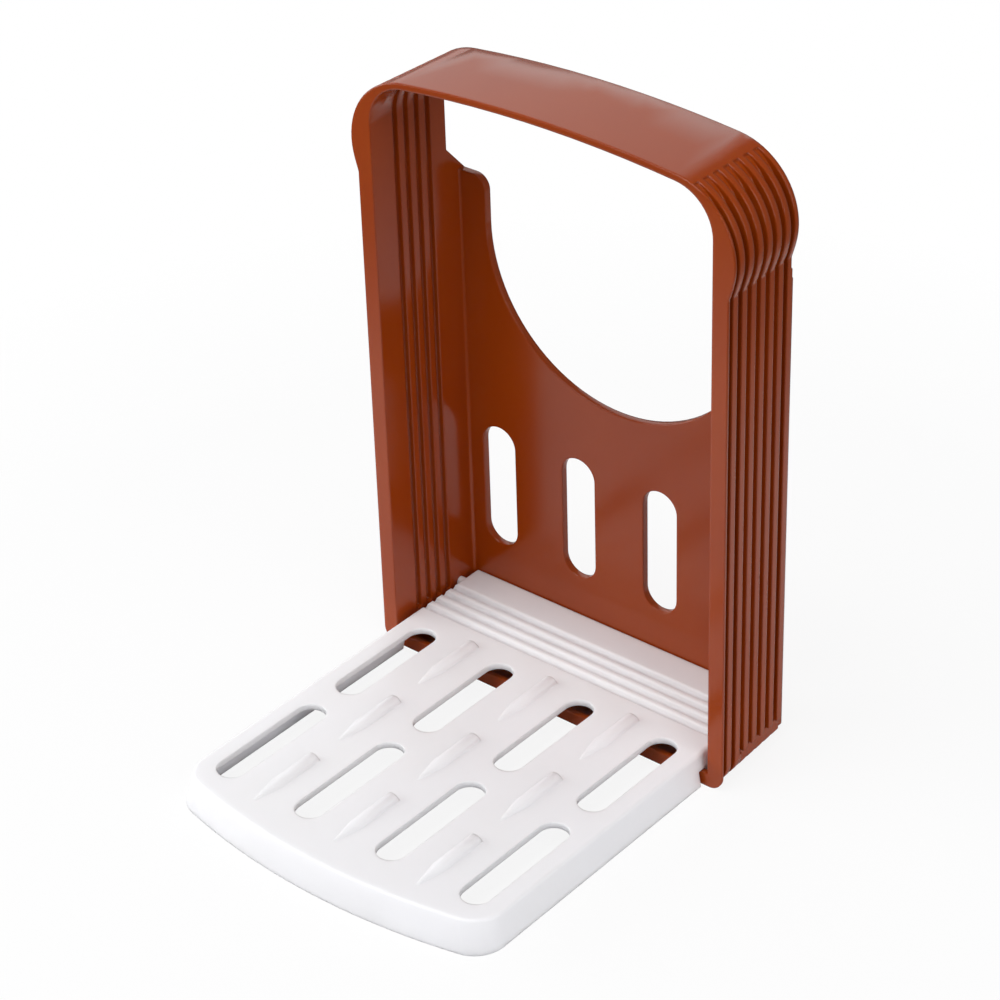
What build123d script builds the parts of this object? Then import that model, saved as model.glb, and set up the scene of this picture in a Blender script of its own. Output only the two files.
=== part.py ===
from build123d import *

import math
import os

# Bread slicer guide: a brown guide frame that stands upright and a white base
# tray that hinges at the frame's foot and folds up into it.
# Millimetres. +X to the right seen from the front, +Y to the back, +Z up.
# Origin: on the table, midway between the pillars, in the frame's front plane.

# ---- frame: driving sizes ----
frame_half_width = 70.0  # outer face of a pillar, in the front plane
frame_height = 211.0  # crown of the top band
frame_depth = 41.0  # front plane to the outside of the back plate
pillar_face = 5.6  # width of a pillar's front face
side_draft = 0.043  # each side closes in by this much per millimetre of depth
wall_thickness = 1.8  # side wall at the bottom of the grooves
band_thickness = 2.0  # top band at its crown
band_depth = 33.0  # the top band is shallower than the frame
arch_radius = 466.0  # the top band is a shallow arch
flange_foot_radius = 5.0  # rounding of the front flange's bottom corners
fin_foot_radius = 8.1  # the fins behind it are rounder at the foot

# ---- frame: shoulders ----
shoulder_out = 2.2  # the shoulders stand out this far past the pillars
shoulder_radius = 23.7
shoulder_drop = 37.1  # from the crown down to where a shoulder meets its pillar
shoulder_lean = 0.30  # sideways lean of the outline as it leaves the pillar
inner_corner_radius = 15.0

# ---- frame: fins, grooves and knife slots of the side walls ----
fin_pitch = 4.75
fin_width = 2.4
first_fin = 3.9  # depth of the first fin's middle
fin_count = 7
flange_thickness = 0.9  # front flange, in front of the first groove
groove_inset = 13.0  # the grooves fade out this far in from the pillar's face
open_groove_count = 2  # the first grooves run down to the foot
tie_bottom = 4.3  # a tie bar closes the other grooves between these heights
tie_top = 8.8
tie_inset = 1.0  # the tie bar and the feet below it are set in from the fins
knife_slot_width = 2.2
knife_slot_count = 4
knife_slot_floor = 9.0
knife_slot_top = 197.0
corner_groove_depth = 1.2  # the slots go on as shallow grooves round the corners
corner_groove_inset = 20.0  # where those end, in from the pillar's face

# ---- frame: back plate, window and floor ----
back_thickness = 2.5
floor_thickness = 2.0
lip_height = 4.6
lip_thickness = 2.0
ear_width = 10.5  # back plate left on each side of the window
ear_height = 161.6  # top edge of the back plate beside the window
ear_radius = 5.0
step_rise = 8.8  # the sides slope up this far from the ears to the band's depth
window_bottom = 93.4
plate_slot_width = 13.5
plate_slot_bottom = 25.5
plate_slot_top = 71.2
plate_slot_margin = 6.2  # side wall to the nearest slot
slot_columns = 4
inner_edge_radius = 1.0  # where the side walls meet the back plate
rear_edge_radius = 1.6  # rounding down the two rear corners

# ---- base tray: driving sizes ----
tray_height = 11.0
tray_side_gap = 1.4  # tray's foot to the frame's wall, in the front plane
tray_flare = 1.8  # the skirts lean out this much from top to foot
tray_foot_front = -115.0  # foot of the bowed front edge, on the middle line
tray_top_front = -112.2
tray_bow_radius = 236.0
tray_corner_radius = 11.0
tray_skin = 2.2
tray_edge_radius = 1.2
skirt_end = -1.4  # the full-height skirt stops just in front of the frame
tray_slot_width = 10.2
rear_slot_end = 0.6
rear_slot_length = 44.5
slot_row_gap = 9.3
front_slot_margin = 13.0  # front slots to the tray's front edge
knife_groove_half_width = 2.1
knife_groove_depth = 1.6
rib_rows = 3
rib_rear_end = 2.4  # rear end of the first row
rib_front_margin = 10.4
rib_length = 27.0
rib_nose = 10.0  # length of a rib's pointed front
rib_width = 5.2
rib_rise = 1.7
rib_nose_rise = 1.1  # height where the pointed front begins
rib_tip_width = 0.8
rib_tip_rise = 0.2

# ---- hinge ----
tray_gap = 0.3  # tray to back plate, and skirt to lip
hinge_z = 9.2  # height of the hinge line above the table
pin_radius = 1.6
pin_clearance = 0.06
socket_depth = 2.8
pin_end_gap = 0.4
boss_wall = 1.2  # plastic left round a hinge socket

# ---- values worked out from the ones above ----
beyond = 10.0  # how far a cutting tool runs past the part
back_face = frame_depth - back_thickness
hinge_round = hinge_z - floor_thickness - tray_gap  # round rear end of the tray
hinge_y = back_face - tray_gap - hinge_round
inner_half_width = frame_half_width - pillar_face
inner_crown = frame_height - band_thickness
plate_half_width = inner_half_width - side_draft * back_face
shoulder_half_width = frame_half_width + shoulder_out
shoulder_foot = frame_height - shoulder_drop
groove_width = fin_pitch - fin_width
rear_zone = first_fin + (fin_count - 1) * fin_pitch + fin_width / 2
first_knife_slot = first_fin + 1.5 * fin_pitch
step_height = ear_height + step_rise
window_radius = plate_half_width - ear_width
window_centre_height = window_bottom + window_radius
slot_span = 2 * (plate_half_width - plate_slot_margin) - plate_slot_width
slot_pitch = slot_span / (slot_columns - 1)
tray_foot_half_width = inner_half_width - tray_side_gap
tray_top_half_width = tray_foot_half_width - tray_flare
rear_slot_span = (rear_slot_end - rear_slot_length, rear_slot_end)
front_slot_span = (tray_top_front + front_slot_margin, rear_slot_span[0] - slot_row_gap)
rib_reach = rib_rear_end - rib_length - rib_front_margin - tray_top_front
rib_row_pitch = rib_reach / (rib_rows - 1)
socket_end = inner_half_width - side_draft * hinge_y + socket_depth
pin_tip = socket_end - pin_end_gap
boss_half = pin_radius + boss_wall
lip_clear = lip_height + 2 * tray_gap
floor_clear = floor_thickness + 2 * tray_gap


def drafted(half, y):
    """Half width at depth y of a side that is half wide in the front plane."""
    return half - side_draft * y


def arched_outline(y, half, crown, arch, corner, foot, shoulder=None, rise=None):
    """Front outline at depth y: flat foot, upright sides, round corners, arched top."""
    side = drafted(half, y)
    reach = drafted(shoulder, y) if shoulder else side
    corner_x = reach - corner
    corner_z = crown - arch + math.sqrt((arch - corner) ** 2 - corner_x**2)
    lean = corner_x / (arch - corner)
    meet_x = arch * lean
    meet_z = crown - arch + arch * math.sqrt(1 - lean**2)
    turn = (math.pi / 2 + math.asin(lean)) / 2
    turn_x = corner_x + corner * math.sin(turn)
    turn_z = corner_z + corner * math.cos(turn)
    with BuildSketch(Plane.XZ.offset(-y)) as outline:
        with BuildLine():
            if foot:
                Line((0, 0), (side - foot, 0))
                foot_centre_x = side - foot
                foot_mid = foot * math.sqrt(0.5)
                ThreePointArc(
                    (side - foot, 0),
                    (foot_centre_x + foot_mid, foot - foot_mid),
                    (side, foot),
                )
            else:
                Line((0, 0), (side, 0))
            if shoulder:
                Line((side, foot), (side, rise))
                Spline(
                    (side, rise),
                    (reach, corner_z),
                    tangents=((shoulder_lean, 1), (0, 1)),
                )
            else:
                Line((side, foot), (side, corner_z))
            ThreePointArc((reach, corner_z), (turn_x, turn_z), (meet_x, meet_z))
            half_x = meet_x / 2
            half_z = crown - arch + math.sqrt(arch**2 - half_x**2)
            ThreePointArc((meet_x, meet_z), (half_x, half_z), (0, crown))
            mirror(about=Plane.YZ)
        make_face()
    return outline.sketch


def envelope(y, foot):
    return arched_outline(
        y,
        frame_half_width,
        frame_height,
        arch_radius,
        shoulder_radius,
        foot,
        shoulder_half_width,
        shoulder_foot,
    )


def inside(y, grow=0.0):
    return arched_outline(
        y,
        inner_half_width + grow,
        inner_crown + grow,
        arch_radius - band_thickness + grow,
        inner_corner_radius + grow,
        0,
    )


def ruled(front, rear):
    return loft([front, rear], ruled=True)


def both_sides(shape):
    return [shape, mirror(shape, about=Plane.YZ)]


def side_block(x_start, y_start, y_end, z_start, z_end):
    """Block on the right side, from x_start outwards."""
    x_end = shoulder_half_width + beyond
    size = (x_end - x_start, y_end - y_start, z_end - z_start)
    middle = (
        (x_start + x_end) / 2,
        (y_start + y_end) / 2,
        (z_start + z_end) / 2,
    )
    return Pos(*middle) * Box(*size)


def slot_upright(width, bottom, top):
    """Upright slot with round ends, as a cutter through the back plate."""
    face = Rot(90, 0, 0) * SlotOverall(top - bottom, width, rotation=90)
    cutter = extrude(face, back_thickness + beyond, both=True)
    return Pos(0, frame_depth, (top + bottom) / 2) * cutter


def slot_flat(width, front, rear):
    """Slot with round ends along Y, as a cutter through the tray."""
    face = SlotOverall(rear - front, width, rotation=90)
    cutter = extrude(face, tray_height + beyond, both=True)
    return Pos(0, (front + rear) / 2, 0) * cutter


def column_positions():
    first = -(slot_columns - 1) / 2 * slot_pitch
    return [first + slot_pitch * column for column in range(slot_columns)]


def rear_corner_cutter():
    """Cutter that rounds the frame's right rear corner from the foot to the top."""
    radius = rear_edge_radius
    slope = math.sqrt(1 + side_draft**2)
    centre_y = frame_depth - radius
    wall_x = drafted(inner_half_width + wall_thickness, centre_y)
    centre_x = wall_x - radius * slope
    touch_x = centre_x + radius / slope
    touch_y = centre_y + radius * side_draft / slope
    turn = (math.pi / 2 + math.atan(side_draft)) / 2
    outer_x = touch_x + beyond
    outer_y = frame_depth + beyond
    with BuildSketch() as plan:
        with BuildLine():
            ThreePointArc(
                (touch_x, touch_y),
                (centre_x + radius * math.cos(turn), centre_y + radius * math.sin(turn)),
                (centre_x, frame_depth),
            )
            Line((centre_x, frame_depth), (centre_x, outer_y))
            Line((centre_x, outer_y), (outer_x, outer_y))
            Line((outer_x, outer_y), (outer_x, touch_y))
            Line((outer_x, touch_y), (touch_x, touch_y))
        make_face()
    return Pos(0, 0, -beyond) * extrude(plan.sketch, frame_height + 2 * beyond)


def build_shell():
    """Outer form of the frame with its fins, still closed inside."""
    flange = ruled(
        envelope(0, flange_foot_radius), envelope(flange_thickness, flange_foot_radius)
    )
    rest = ruled(
        envelope(flange_thickness, fin_foot_radius),
        envelope(frame_depth, fin_foot_radius),
    )
    shell = flange + rest

    # Grooves between the fins, down to a wall of even thickness that follows
    # the inside round the corners, so the grooves fade out into the top band.
    blocks = []
    top = frame_height + beyond
    start_x = frame_half_width - groove_inset
    for index in range(fin_count):
        rear = first_fin + index * fin_pitch - fin_width / 2
        front = rear - groove_width if index else flange_thickness
        if index < open_groove_count:
            heights = [(-beyond, top)]
        else:
            heights = [(-beyond, tie_bottom), (tie_top, top)]
        for low, high in heights:
            blocks += both_sides(side_block(start_x, front, rear, low, high))
    # Behind the last fin only the side wall goes on.
    last = side_block(start_x, rear_zone, frame_depth + beyond, -beyond, top)
    blocks += both_sides(last)
    core = ruled(
        inside(-beyond, wall_thickness), inside(frame_depth + 2 * beyond, wall_thickness)
    )
    core += Pos(0, frame_depth / 2, -beyond) * Box(
        2 * inner_half_width, frame_depth + 4 * beyond, 2 * beyond
    )
    shell -= [block - core for block in blocks]

    # The tie bar and the feet below it are set in from the fins.
    first_tied = first_fin + (open_groove_count - 0.5) * fin_pitch
    with BuildSketch() as trim_plan:
        Polygon(
            (drafted(frame_half_width, first_tied) - tie_inset, first_tied),
            (drafted(frame_half_width, frame_depth) - tie_inset, frame_depth),
            (frame_half_width + beyond, frame_depth),
            (frame_half_width + beyond, first_tied),
            align=None,
        )
    trim = Pos(0, 0, -beyond) * extrude(trim_plan.sketch, tie_top + beyond)
    shell -= both_sides(trim)

    # A boss at each foot backs the hinge socket.
    boss_start = inner_half_width - pillar_face
    boss = Pos((boss_start + socket_end + boss_wall) / 2, hinge_y, hinge_z) * Box(
        socket_end + boss_wall - boss_start, 2 * boss_half, 2 * boss_half
    )
    shell += both_sides(boss)
    return shell


def build_frame():
    shell = build_shell()
    top = frame_height + beyond

    # Bread passes between the walls; above the back plate the sides step back.
    shell -= ruled(inside(-0.001), inside(frame_depth + 0.001))
    with BuildSketch(Plane.YZ) as step:
        Polygon(
            (band_depth, top),
            (band_depth, step_height),
            (frame_depth, ear_height),
            (frame_depth + beyond, ear_height),
            (frame_depth + beyond, top),
            align=None,
        )
    step_cutter = extrude(step.sketch, shoulder_half_width + beyond, both=True)
    shell -= step_cutter

    # Back plate with the round-bottomed window and a row of upright slots.
    plate_half = plate_half_width + wall_thickness / 2
    plate = Pos(0, frame_depth - back_thickness / 2, ear_height / 2) * Box(
        2 * plate_half, back_thickness, ear_height
    )
    with BuildSketch(Plane.XZ) as window:
        with Locations((0, window_centre_height)):
            Circle(window_radius)
        with Locations((0, window_centre_height + window_radius)):
            Rectangle(2 * window_radius, 2 * window_radius)
    window_cutter = extrude(window.sketch, -(frame_depth + beyond))
    plate -= window_cutter
    ear_edges = (
        plate.edges()
        .filter_by(Axis.Y)
        .filter_by(lambda e: abs(abs(e.center().X) - window_radius) < 0.1)
    )
    plate = fillet(ear_edges, ear_radius)
    plate -= [
        Pos(x, 0, 0) * slot_upright(plate_slot_width, plate_slot_bottom, plate_slot_top)
        for x in column_positions()
    ]

    # Floor with a lip along its front edge.
    front_half = inner_half_width + wall_thickness / 2
    rear_half = drafted(front_half, frame_depth)
    with BuildSketch() as floor_plan:
        Polygon(
            (-front_half, 0),
            (front_half, 0),
            (rear_half, frame_depth),
            (-rear_half, frame_depth),
            align=None,
        )
    floor = extrude(floor_plan.sketch, floor_thickness)
    lip = Pos(0, lip_thickness / 2, lip_height / 2) * Box(
        2 * front_half - wall_thickness / 2, lip_thickness, lip_height
    )
    frame = shell + plate + floor + lip
    frame -= both_sides(rear_corner_cutter())
    inner_corners = frame.edges().filter_by(
        lambda e: abs(e.center().Y - back_face) < 0.01
        and abs(abs(e.center().X) - plate_half_width) < 0.01
        and e.length > ear_height / 2
    )
    frame = fillet(inner_corners, inner_edge_radius)

    # Knife slots through both side walls, going on round the corners as grooves.
    cutters = []
    for index in range(knife_slot_count):
        middle = first_knife_slot + index * fin_pitch
        front = middle - knife_slot_width / 2
        rear = middle + knife_slot_width / 2
        slot = side_block(
            inner_half_width - pillar_face, front, rear, knife_slot_floor, knife_slot_top
        )
        cutters += both_sides(slot)
        ring = extrude(inside(front, corner_groove_depth), -knife_slot_width)
        corner = side_block(
            frame_half_width - corner_groove_inset, front, rear, knife_slot_top, top
        )
        for side in both_sides(corner):
            cutters.append(ring & side)
    # Hinge sockets, blind from the inside.
    socket = (
        Pos(0, hinge_y, hinge_z)
        * Rot(0, 90, 0)
        * Cylinder(
            pin_radius + pin_clearance,
            socket_end,
            align=(Align.CENTER, Align.CENTER, Align.MIN),
        )
    )
    cutters += both_sides(socket)
    frame -= cutters
    return frame


def tray_outline(z, half, front, shrink=0.0):
    """Plan of the tray at height z: straight sides and a bowed front."""
    side = half - shrink
    nose = front + shrink
    bow = tray_bow_radius - shrink
    corner = tray_corner_radius - shrink
    corner_x = side - corner
    rear_end = hinge_y + hinge_round - shrink
    bow_centre = nose + bow
    corner_y = bow_centre - math.sqrt((bow - corner) ** 2 - corner_x**2)
    lean = corner_x / (bow - corner)
    meet_x = bow * lean
    meet_y = bow_centre - bow * math.sqrt(1 - lean**2)
    turn = (math.pi / 2 + math.asin(lean)) / 2
    turn_x = corner_x + corner * math.sin(turn)
    turn_y = corner_y - corner * math.cos(turn)
    with BuildSketch(Plane.XY.offset(z)) as plan:
        with BuildLine():
            ThreePointArc((-meet_x, meet_y), (0, nose), (meet_x, meet_y))
            ThreePointArc((meet_x, meet_y), (turn_x, turn_y), (side, corner_y))
            Line((side, corner_y), (side, rear_end))
            Line((side, rear_end), (-side, rear_end))
            Line((-side, rear_end), (-side, corner_y))
            ThreePointArc((-side, corner_y), (-turn_x, turn_y), (-meet_x, meet_y))
        make_face()
    return plan.sketch


def knife_groove(length):
    """Cutter for one wave-shaped groove across the tray."""
    half = knife_groove_half_width
    depth = knife_groove_depth
    round_radius = (half**2 + depth**2) / (4 * depth)
    turn = math.asin(half / (2 * round_radius)) / 2
    step_in = round_radius * math.sin(turn)
    step_down = round_radius * (1 - math.cos(turn))
    with BuildSketch(Plane.YZ) as profile:
        with BuildLine():
            ThreePointArc(
                (-half, 0), (-half + step_in, -step_down), (-half / 2, -depth / 2)
            )
            ThreePointArc((-half / 2, -depth / 2), (0, -depth), (half / 2, -depth / 2))
            ThreePointArc(
                (half / 2, -depth / 2), (half - step_in, -step_down), (half, 0)
            )
            Line((half, 0), (half, beyond))
            Line((half, beyond), (-half, beyond))
            Line((-half, beyond), (-half, 0))
        make_face()
    return extrude(profile.sketch, length / 2, both=True)


def rib_section(y, width, rise):
    """Cross-section of a rib: a low round hump with its root in the tray."""
    half = width / 2
    with BuildSketch(Plane.XZ.offset(-y)) as section:
        with BuildLine():
            ThreePointArc((-half, 0), (0, rise), (half, 0))
            Line((half, 0), (half, -tray_skin / 2))
            Line((half, -tray_skin / 2), (-half, -tray_skin / 2))
            Line((-half, -tray_skin / 2), (-half, 0))
        make_face()
    return section.sketch


def rib():
    """One grip rib, pointed at the front, its blunt rear end at the origin."""
    tip = rib_section(-rib_length, rib_tip_width, rib_tip_rise)
    neck = rib_section(rib_nose - rib_length, rib_width, rib_nose_rise)
    rear = rib_section(0, rib_width, rib_rise)
    return ruled(tip, neck) + ruled(neck, rear)


def outside_hinge_round(radius):
    """Cutter for what lies behind the hinge and outside a round about it."""
    reach = hinge_round + beyond
    tall = tray_height + 2 * beyond
    wide = 2 * (tray_foot_half_width + beyond)
    block = Pos(0, hinge_y + reach / 2, tray_height / 2) * Box(wide, reach, tall)
    lying = Pos(0, hinge_y, hinge_z) * Rot(0, 90, 0)
    return block - lying * Cylinder(radius, wide + beyond)


def build_tray():
    foot = tray_outline(0, tray_foot_half_width, tray_foot_front)
    top = tray_outline(tray_height, tray_top_half_width, tray_top_front)
    tray = ruled(foot, top)
    outer_edges = (
        tray.faces()
        .sort_by(Axis.Z)[-1]
        .edges()
        .filter_by(lambda e: e.center().Y < hinge_y)
    )
    tray = fillet(outer_edges, tray_edge_radius)
    tray -= outside_hinge_round(hinge_round)

    inner_top = tray_height - tray_skin
    inner_foot = tray_outline(-0.001, tray_foot_half_width, tray_foot_front, tray_skin)
    inner_roof = tray_outline(
        inner_top, tray_top_half_width, tray_top_front, tray_skin
    )
    hollow = ruled(inner_foot, inner_roof)
    hollow -= outside_hinge_round(hinge_round - tray_skin)
    tray -= hollow

    # The skirt is cut back where the tray passes over the frame's lip and floor.
    over_lip = lip_thickness + 3 * tray_gap
    wide = 2 * (tray_foot_half_width + beyond)
    tray -= Pos(0, (skirt_end + over_lip) / 2, lip_clear / 2) * Box(
        wide, over_lip - skirt_end, lip_clear
    )
    tray -= Pos(0, (over_lip + hinge_y) / 2, floor_clear / 2) * Box(
        wide, hinge_y - over_lip, floor_clear
    )

    # Knife grooves in line with the slots of the frame.
    tray -= [
        Pos(0, first_knife_slot + index * fin_pitch, tray_height) * knife_groove(wide)
        for index in range(knife_slot_count)
    ]

    # Slots and grip ribs alternate across the tray.
    for x in column_positions():
        for front, rear in (rear_slot_span, front_slot_span):
            tray -= Pos(x, 0, 0) * slot_flat(tray_slot_width, front, rear)
    one_rib = rib()
    for x in column_positions()[:-1]:
        for row in range(rib_rows):
            rear = rib_rear_end - row * rib_row_pitch
            tray += Pos(x + slot_pitch / 2, rear, tray_height) * one_rib

    # Hinge pins stand out of the side skirts.
    pin_root = tray_top_half_width - tray_skin / 2
    pin = (
        Pos(pin_root, hinge_y, hinge_z)
        * Rot(0, 90, 0)
        * Cylinder(
            pin_radius,
            pin_tip - pin_root,
            align=(Align.CENTER, Align.CENTER, Align.MIN),
        )
    )
    tray += both_sides(pin)
    return tray


os.makedirs("parts", exist_ok=True)
frame = build_frame()
tray = build_tray()
for node, shape in (("guide_frame", frame), ("base_tray", tray)):
    solids = shape.solids()
    print(node, "solids", len(solids), "volume", round(sum(s.volume for s in solids)))
    export_step(solids[0] if len(solids) == 1 else Compound(solids), f"parts/{node}.step")
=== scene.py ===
import math

import bpy
from mathutils import Matrix, Vector

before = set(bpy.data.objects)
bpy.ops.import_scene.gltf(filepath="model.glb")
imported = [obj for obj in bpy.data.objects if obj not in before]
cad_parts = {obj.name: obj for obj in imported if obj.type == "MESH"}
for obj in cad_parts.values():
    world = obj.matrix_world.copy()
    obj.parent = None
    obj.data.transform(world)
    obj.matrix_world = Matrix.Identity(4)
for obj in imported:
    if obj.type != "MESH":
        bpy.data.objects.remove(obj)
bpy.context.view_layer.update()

# ---- camera: where it stands, found from the object's edges in the photograph ----
IMAGE_SIZE = 1000  # pixels
FOCAL_PIXELS = 3054.38
SENSOR_MM = 36.0
NEAR_CLIP = 0.01
CAMERA_YAW = 40.703  # degrees round to the right of straight in front
CAMERA_PITCH = 32.190  # degrees above level
CAMERA_ROLL = -1.894  # degrees
CAMERA_RIGHT = -0.015308  # metres from the origin, along the picture's right
CAMERA_UP = 0.068781  # the same, along the picture's up
CAMERA_BACK = 0.991195  # the same, towards the viewer

# ---- plastics: colours are linear, lengths in metres ----
BROWN_PLASTIC = {
    "name": "brown_gloss_plastic",
    "colour": ((0.295, 0.039, 0.001, 1.0), (0.325, 0.046, 0.001, 1.0)),
    "colour_scale": 18.0,
    "roughness": (0.15, 0.22),
    "roughness_scale": 60.0,
    "ior": 1.45,
    "subsurface": 0.12,  # thin walls let a little light through
    "subsurface_radius": (1.0, 0.25, 0.08),
    "subsurface_scale": 0.002,
    "grain_scale": 60.0,
    "grain_detail": 1.0,
    "grain_height": 0.0004,
    "grain_strength": 0.06,
    "shaded_edge": 0.0009,
    "edge_rounding": 0.00028,
}
WHITE_PLASTIC = {
    "name": "white_satin_plastic",
    "colour": ((0.87, 0.87, 0.89, 1.0), (0.88, 0.88, 0.91, 1.0)),
    "colour_scale": 25.0,
    "roughness": (0.30, 0.42),
    "roughness_scale": 70.0,
    "ior": 1.49,
    "subsurface": 0.5,
    "subsurface_radius": (1.0, 1.0, 1.0),
    "subsurface_scale": 0.003,
    "grain_scale": 400.0,
    "grain_detail": 2.0,
    "grain_height": 0.0002,
    "grain_strength": 0.10,
    "shaded_edge": 0.0007,
    "edge_rounding": 0.00035,
}
COLOUR_DETAIL = 2.0  # of the faint clouding in a colour
ROUGHNESS_DETAIL = 3.0
CLOUD_SPAN = (0.35, 0.65)  # noise levels between which a colour changes
SHADED_EDGE_SAMPLES = 6
WELD_DISTANCE = 1e-6
EDGE_SEGMENTS = 2
SHARP_ANGLE = 32.0  # degrees; softer edges are part of a curved face

# ---- floor ----
FLOOR_WIDTH = 1.2
FLOOR_FADE = (0.22, 0.36)  # metres from the origin, where the floor fades out
FLOOR_COLOUR = (0.86, 0.86, 0.87, 1.0)
FLOOR_ROUGHNESS = 0.9
FLOOR_SPECULAR = 0.1
FLOOR_SHADOW_SHARE = 0.12  # how strongly the object's shadow shows on the floor

# ---- light ----
PURE_WHITE = (1, 1, 1, 1)
WORLD_STRENGTH = 0.2
# name, place, target, width and height in metres, power in watts
SOFTBOXES = (
    ("key_left", (-1.25, -0.58, 0.36), (0, 0, 0.1), 1.0, 0.65, 10.0),
    ("overhead", (-0.05, -0.5, 1.35), (0, -0.03, 0.05), 0.9, 0.9, 10.5),
    ("front_fill", (-0.45, -1.25, 0.75), (0, 0, 0.1), 0.9, 0.9, 3.0),
    ("right_side", (1.25, -0.25, 0.6), (0, 0, 0.1), 1.0, 1.0, 7.5),
    ("back_left", (-1.02, 1.09, 0.79), (0, 0, 0.2), 1.5, 1.2, 4.8),
)


def camera_axes():
    """The picture's right and up, and the way back to the viewer."""
    yaw, pitch, roll = (
        math.radians(angle) for angle in (CAMERA_YAW, CAMERA_PITCH, CAMERA_ROLL)
    )
    level_share = math.cos(pitch)
    back = Vector(
        (math.sin(yaw) * level_share, -math.cos(yaw) * level_share, math.sin(pitch))
    )
    level = Vector((math.cos(yaw), math.sin(yaw), 0))
    upright = back.cross(level)
    right = math.cos(roll) * level + math.sin(roll) * upright
    up = math.cos(roll) * upright - math.sin(roll) * level
    return right, up, back


def add_camera():
    right, up, back = camera_axes()
    data = bpy.data.cameras.new("photo_camera")
    data.sensor_width = SENSOR_MM
    data.lens = FOCAL_PIXELS / IMAGE_SIZE * SENSOR_MM
    data.clip_start = NEAR_CLIP
    camera = bpy.data.objects.new("photo_camera", data)
    bpy.context.scene.collection.objects.link(camera)
    turn = Matrix((right, up, back)).transposed().to_4x4()
    place = CAMERA_RIGHT * right + CAMERA_UP * up + CAMERA_BACK * back
    camera.matrix_world = Matrix.Translation(place) @ turn
    bpy.context.scene.camera = camera


def new_material(name):
    material = bpy.data.materials.new(name)
    material.use_nodes = True
    tree = material.node_tree
    return material, tree, tree.nodes["Principled BSDF"]


def noise(tree, scale, detail):
    coords = tree.nodes.new("ShaderNodeTexCoord")
    texture = tree.nodes.new("ShaderNodeTexNoise")
    texture.inputs["Scale"].default_value = scale
    texture.inputs["Detail"].default_value = detail
    tree.links.new(coords.outputs["Object"], texture.inputs["Vector"])
    return texture.outputs["Fac"]


def clouded(tree, value, colours):
    """A colour that drifts from the first to the second as the value rises."""
    node = tree.nodes.new("ShaderNodeValToRGB")
    for element, level, colour in zip(node.color_ramp.elements, CLOUD_SPAN, colours):
        element.position = level
        element.color = colour
    tree.links.new(value, node.inputs["Fac"])
    return node.outputs["Color"]


def spread(tree, value, limits):
    """A number between two limits that follows a value between 0 and 1."""
    node = tree.nodes.new("ShaderNodeMapRange")
    node.inputs["To Min"].default_value, node.inputs["To Max"].default_value = limits
    tree.links.new(value, node.inputs["Value"])
    return node.outputs["Result"]


def plastic(finish):
    """Moulded plastic, slightly uneven, whose edges shade as if moulded round."""
    material, tree, shader = new_material(finish["name"])
    clouds = noise(tree, finish["colour_scale"], COLOUR_DETAIL)
    colour = clouded(tree, clouds, finish["colour"])
    tree.links.new(colour, shader.inputs["Base Color"])
    wear = noise(tree, finish["roughness_scale"], ROUGHNESS_DETAIL)
    roughness = spread(tree, wear, finish["roughness"])
    tree.links.new(roughness, shader.inputs["Roughness"])
    shader.inputs["IOR"].default_value = finish["ior"]
    shader.inputs["Subsurface Weight"].default_value = finish["subsurface"]
    shader.inputs["Subsurface Radius"].default_value = finish["subsurface_radius"]
    shader.inputs["Subsurface Scale"].default_value = finish["subsurface_scale"]

    grain = noise(tree, finish["grain_scale"], finish["grain_detail"])
    rounded = tree.nodes.new("ShaderNodeBevel")
    rounded.samples = SHADED_EDGE_SAMPLES
    rounded.inputs["Radius"].default_value = finish["shaded_edge"]
    bump = tree.nodes.new("ShaderNodeBump")
    bump.inputs["Distance"].default_value = finish["grain_height"]
    bump.inputs["Strength"].default_value = finish["grain_strength"]
    tree.links.new(rounded.outputs["Normal"], bump.inputs["Normal"])
    tree.links.new(grain, bump.inputs["Height"])
    tree.links.new(bump.outputs["Normal"], shader.inputs["Normal"])
    return material


def finish_node(name, finish):
    """Moulded edges and a plastic for one of the frame's nodes."""
    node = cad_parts[name]
    material = plastic(finish)
    for slot in range(len(node.data.materials)):
        node.data.materials[slot] = material
    weld = node.modifiers.new("weld", "WELD")
    weld.merge_threshold = WELD_DISTANCE
    bevel = node.modifiers.new("edge", "BEVEL")
    bevel.width = finish["edge_rounding"]
    bevel.segments = EDGE_SEGMENTS
    bevel.limit_method = "ANGLE"
    bevel.angle_limit = math.radians(SHARP_ANGLE)
    bevel.harden_normals = True
    bevel.use_clamp_overlap = True


def mix(tree, share, first, second):
    """One shader that goes over into another as the share goes from 0 to 1."""
    node = tree.nodes.new("ShaderNodeMixShader")
    if isinstance(share, float):
        node.inputs["Fac"].default_value = share
    else:
        tree.links.new(share, node.inputs["Fac"])
    tree.links.new(first, node.inputs[1])
    tree.links.new(second, node.inputs[2])
    return node.outputs["Shader"]


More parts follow.
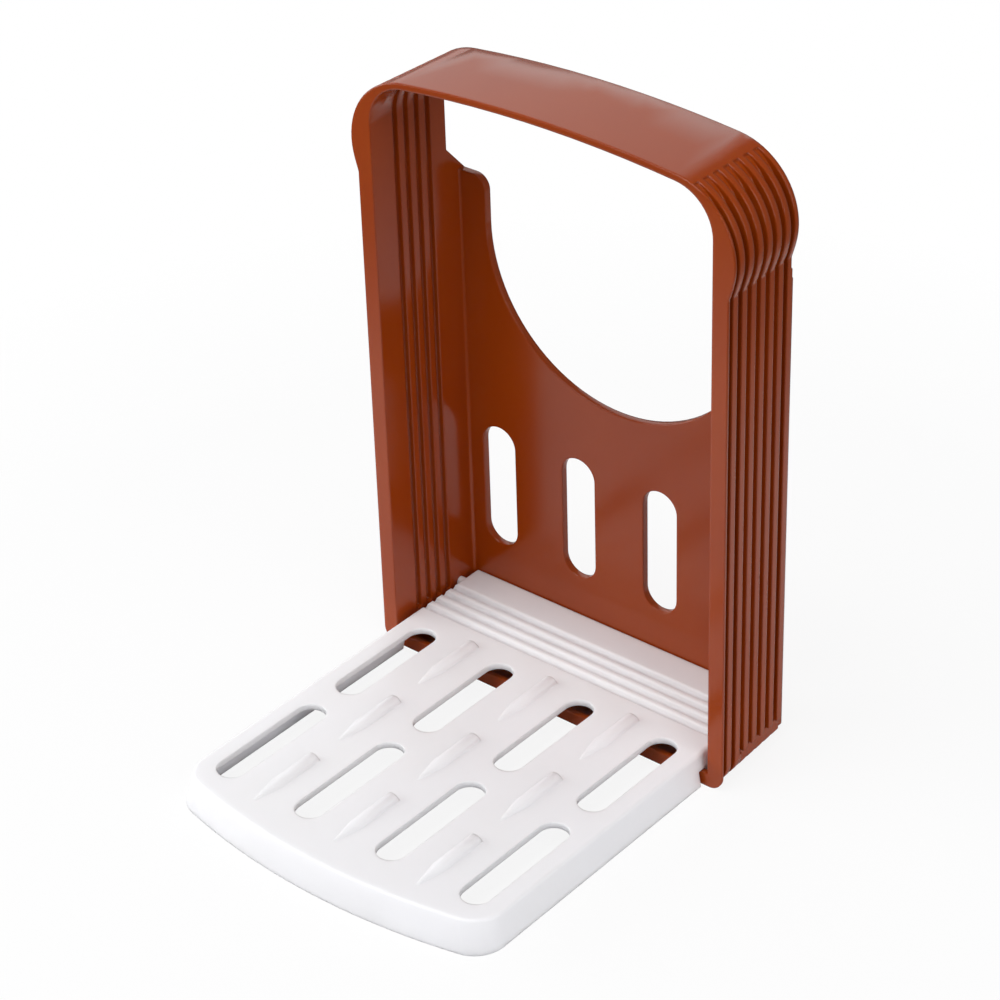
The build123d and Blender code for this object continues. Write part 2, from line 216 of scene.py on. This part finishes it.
def add_floor():
    """Pale floor. To the camera it is almost white, under a faint shadow, and it
    fades out before its rim."""
    bpy.ops.mesh.primitive_plane_add(size=FLOOR_WIDTH)
    floor = bpy.context.object
    floor.name = "floor"
    material, tree, shader = new_material("pale_floor")
    shader.inputs["Base Color"].default_value = FLOOR_COLOUR
    shader.inputs["Roughness"].default_value = FLOOR_ROUGHNESS
    shader.inputs["Specular IOR Level"].default_value = FLOOR_SPECULAR
    plain = shader.outputs["BSDF"]
    glow = tree.nodes.new("ShaderNodeEmission")
    seen = mix(tree, FLOOR_SHADOW_SHARE, glow.outputs["Emission"], plain)

    # The camera sees the almost white floor, also through clear things.
    path = tree.nodes.new("ShaderNodeLightPath")
    viewed = tree.nodes.new("ShaderNodeMath")
    viewed.operation = "MAXIMUM"
    tree.links.new(path.outputs["Is Camera Ray"], viewed.inputs[0])
    tree.links.new(path.outputs["Is Transmission Ray"], viewed.inputs[1])
    solid = mix(tree, viewed.outputs["Value"], plain, seen)

    coords = tree.nodes.new("ShaderNodeTexCoord")
    reach = tree.nodes.new("ShaderNodeVectorMath")
    reach.operation = "LENGTH"
    tree.links.new(coords.outputs["Object"], reach.inputs[0])
    fade = tree.nodes.new("ShaderNodeMapRange")
    fade.inputs["From Min"].default_value = FLOOR_FADE[0]
    fade.inputs["From Max"].default_value = FLOOR_FADE[1]
    tree.links.new(reach.outputs["Value"], fade.inputs["Value"])
    clear = tree.nodes.new("ShaderNodeBsdfTransparent")
    card = mix(tree, fade.outputs["Result"], solid, clear.outputs["BSDF"])
    tree.links.new(card, tree.nodes["Material Output"].inputs["Surface"])
    floor.data.materials.append(material)


def add_world():
    """Dim white surroundings that look plain white to the camera."""
    world = bpy.data.worlds.new("studio")
    bpy.context.scene.world = world
    world.use_nodes = True
    tree = world.node_tree
    lit = tree.nodes["Background"]
    lit.inputs["Color"].default_value = PURE_WHITE
    lit.inputs["Strength"].default_value = WORLD_STRENGTH
    shown = tree.nodes.new("ShaderNodeBackground")
    shown.inputs["Color"].default_value = PURE_WHITE
    path = tree.nodes.new("ShaderNodeLightPath")
    surroundings = mix(
        tree,
        path.outputs["Is Camera Ray"],
        lit.outputs["Background"],
        shown.outputs["Background"],
    )
    tree.links.new(surroundings, tree.nodes["World Output"].inputs["Surface"])


def add_softbox(name, place, target, width, height, power):
    data = bpy.data.lights.new(name, "AREA")
    data.shape = "RECTANGLE"
    data.size = width
    data.size_y = height
    data.energy = power
    lamp = bpy.data.objects.new(name, data)
    bpy.context.scene.collection.objects.link(lamp)
    lamp.location = place
    aim = Vector(target) - Vector(place)
    lamp.rotation_euler = aim.to_track_quat("-Z", "Y").to_euler()


bpy.context.scene.view_settings.view_transform = "Standard"
add_camera()
finish_node("guide_frame", BROWN_PLASTIC)
finish_node("base_tray", WHITE_PLASTIC)
add_floor()
add_world()
for softbox in SOFTBOXES:
    add_softbox(*softbox)
